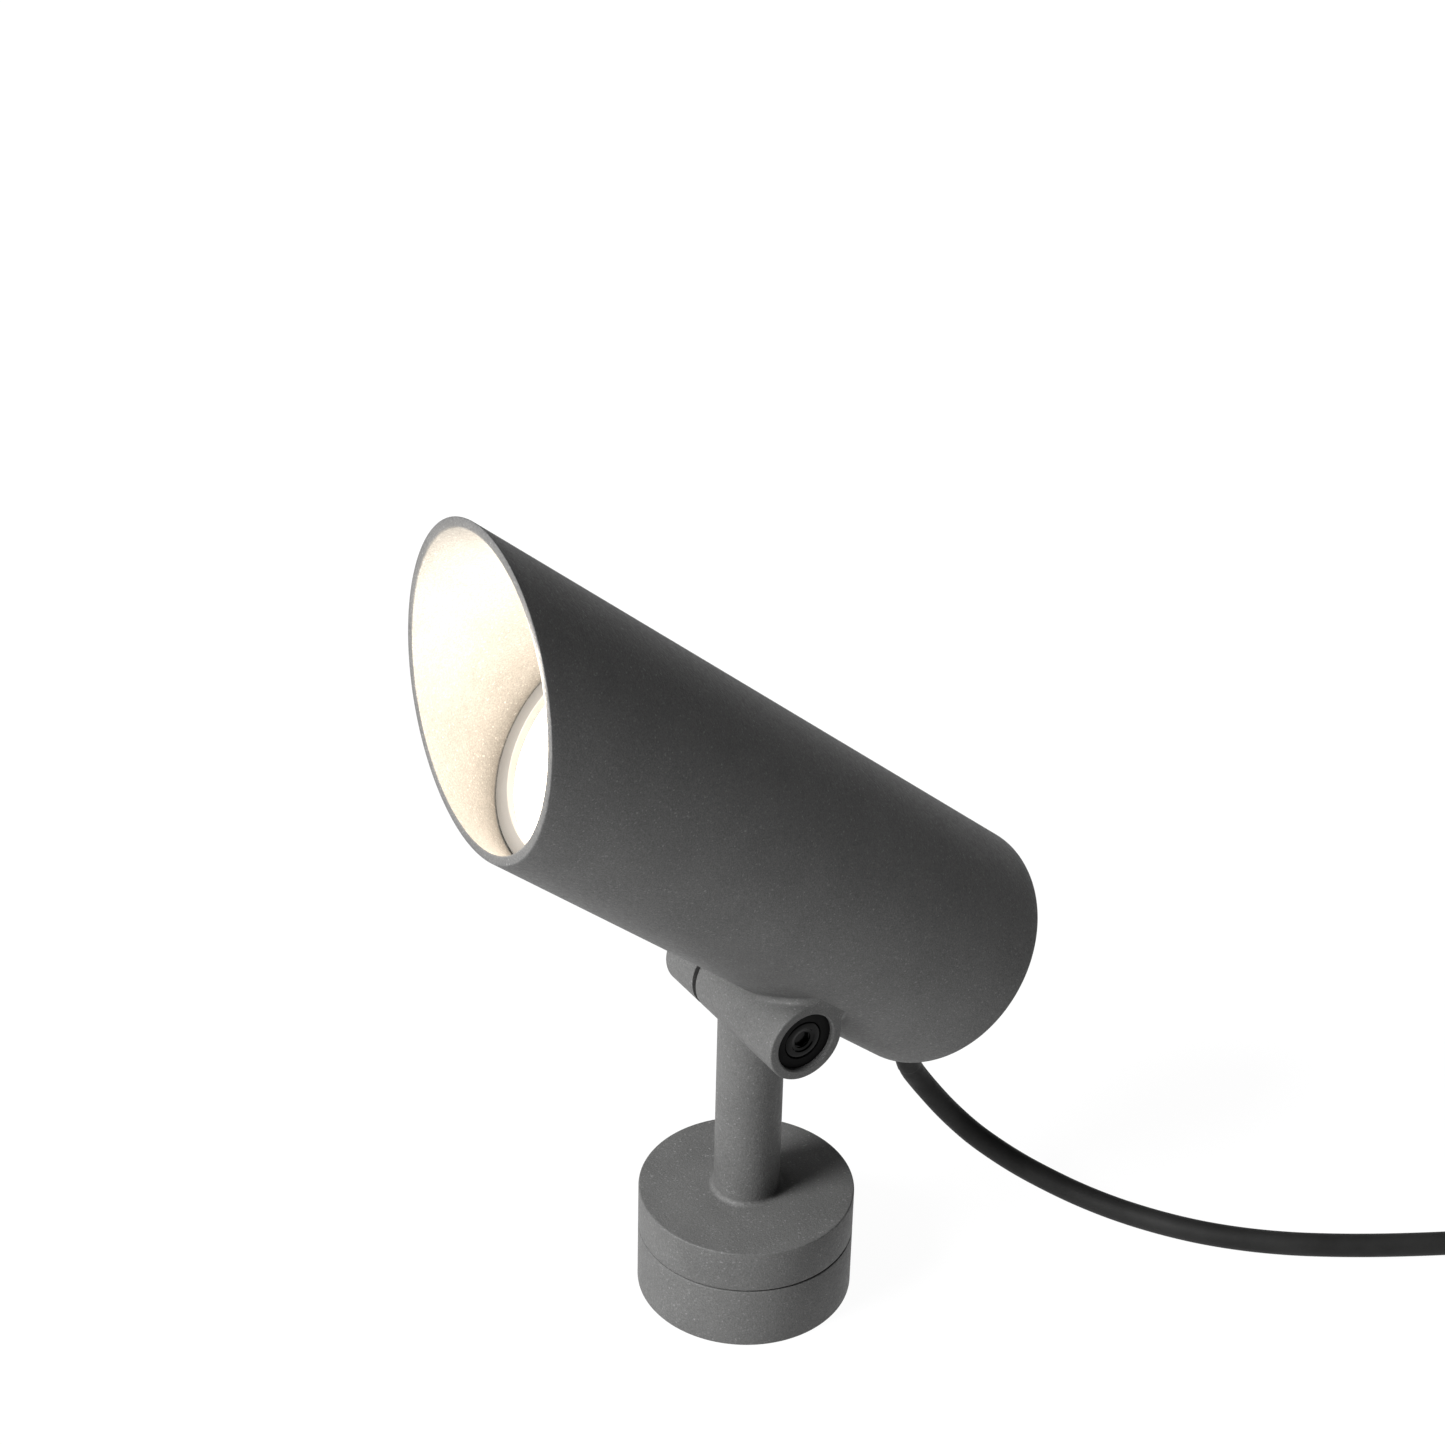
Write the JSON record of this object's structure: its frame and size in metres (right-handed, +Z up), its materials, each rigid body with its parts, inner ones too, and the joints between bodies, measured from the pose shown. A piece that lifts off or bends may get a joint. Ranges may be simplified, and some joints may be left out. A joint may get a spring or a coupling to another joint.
{
  "type": "garden spotlight",
  "caption": "Cylindrical outdoor spotlight with a slanted glare shield, tilting on a post that turns on a round two-disc base, with a rubber cord and an inline connector.",
  "frame": {"origin": "centre of the base at its underside, on the ground", "axes": "+Z up along the post and the pan axis, +X along the tilt axis towards the tilt bolt, -Y the way the lamp points"},
  "size_m": [0.2027, 0.4444, 0.3074],
  "materials": {
    "coat": "matte",
    "steel": "satin",
    "black_plastic": "matte",
    "rubber": "matte",
    "bare_aluminium": "satin",
    "bronze": "satin",
    "tempered_glass": "polished",
    "white_plastic": "matte",
    "phosphor": "matte",
    "board_white": "satin",
    "board_green": "satin",
    "wire_brown": "satin",
    "wire_blue": "satin",
    "wire_green": "satin",
    "wire_red": "satin",
    "wire_black": "satin"
  },
  "bodies": {
    "base": {"base_cup": "coat", "base_seal": "rubber", "slide_washer": "white_plastic", "pivot_cap": "black_plastic", "head_washer": "steel"},
    "post": {"swivel_flange": "coat", "post_arm": "coat", "pivot_bolt": "steel", "knuckle_bush": "bronze", "friction_washer": "steel", "power_cord": "rubber", "cord_coil": "rubber", "cord_tail": "rubber", "coil_tie": "black_plastic", "connector_nut": "black_plastic", "connector_body": "black_plastic", "connector_cap": "black_plastic"},
    "head": {"bezel_ring": "bare_aluminium", "bolt_collar": "black_plastic", "cord_entry": "rubber", "driver_board": "board_green", "driver_capacitor": "bare_aluminium", "driver_inductor": "bronze", "driver_transformer": "black_plastic", "driver_tray": "white_plastic", "front_glass": "tempered_glass", "gland_body": "black_plastic", "gland_nut": "black_plastic", "gland_seal": "rubber", "glass_gasket": "rubber", "head_housing": "coat", "heat_sink": "bare_aluminium", "led_board": "board_white", "led_emitter": "phosphor", "led_holder": "white_plastic", "led_lead_black": "wire_black", "led_lead_red": "wire_red", "nut_cap": "black_plastic", "rear_cap": "coat", "rear_gasket": "rubber", "rear_screw_1": "steel", "rear_screw_2": "steel", "rear_screw_3": "steel", "reflector": "bare_aluminium", "strain_relief": "rubber", "terminal_block": "white_plastic", "tilt_bolt": "steel", "tilt_nut": "steel", "wire_blue": "wire_blue", "wire_brown": "wire_brown", "wire_earth": "wire_green"}
  },
  "joints": [
    {"name": "pan", "type": "hinge", "parent": "base", "child": "post", "pos_m": [0, 0, 0], "axis": [0, 0, 1], "range_deg": [-170, 170]},
    {"name": "tilt", "type": "hinge", "parent": "post", "child": "head", "pos_m": [0, 0, 0.1145], "axis": [1, 0, 0], "range_deg": [-18.5, 71.5], "deforming": ["power_cord"]}
  ]
}
